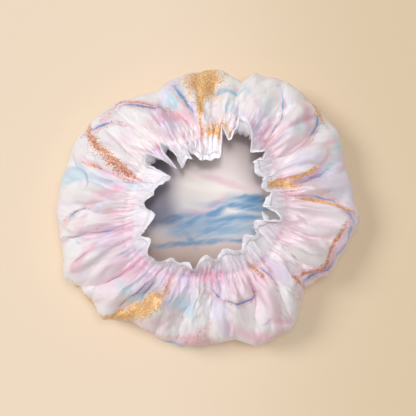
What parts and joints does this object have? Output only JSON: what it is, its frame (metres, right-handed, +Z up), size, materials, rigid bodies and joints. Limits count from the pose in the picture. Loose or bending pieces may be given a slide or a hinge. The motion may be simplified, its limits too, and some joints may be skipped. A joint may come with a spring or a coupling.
{
  "type": "shower cap",
  "caption": "Round lined bath cap lying on its crown, gathered by an elastic hem into a small mouth with a bound frill; its mouth lifts and presses flat.",
  "frame": {"origin": "on the surface the cap lies on, under the middle of the cap seen from above", "axes": "+Z up out of the mouth, the cap lying on its crown; +X along its widest extent; +Y square to both"},
  "size_m": [0.2868, 0.2636, 0.0776],
  "materials": {
    "printed_satin": "soft sheen, pastel marbled print in white, pink, lavender, aqua and copper glitter",
    "milky_film": "smooth milky waterproof film with the print showing faintly through",
    "white_tape": "matt woven tape",
    "elastic": "ribbed braided elastic",
    "thread": "spun sewing thread"
  },
  "bodies": {
    "crown": {"outer_shell": "printed_satin", "inner_lining": "milky_film"},
    "hem": {"edge_binding": "white_tape", "elastic_band": "elastic", "elastic_join_tack": "thread", "channel_tape": "white_tape", "channel_upper_seam_needle_thread": "thread", "channel_upper_seam_bobbin_thread": "thread", "channel_lower_seam_needle_thread": "thread", "channel_lower_seam_bobbin_thread": "thread", "binding_seam_needle_thread": "thread", "binding_seam_bobbin_thread": "thread"}
  },
  "joints": [
    {"name": "mouth_lift", "type": "slide", "parent": "crown", "child": "hem", "axis": [0, 0, 1], "range_m": [-0.025, 0.05], "deforming": ["outer_shell", "inner_lining"]}
  ]
}
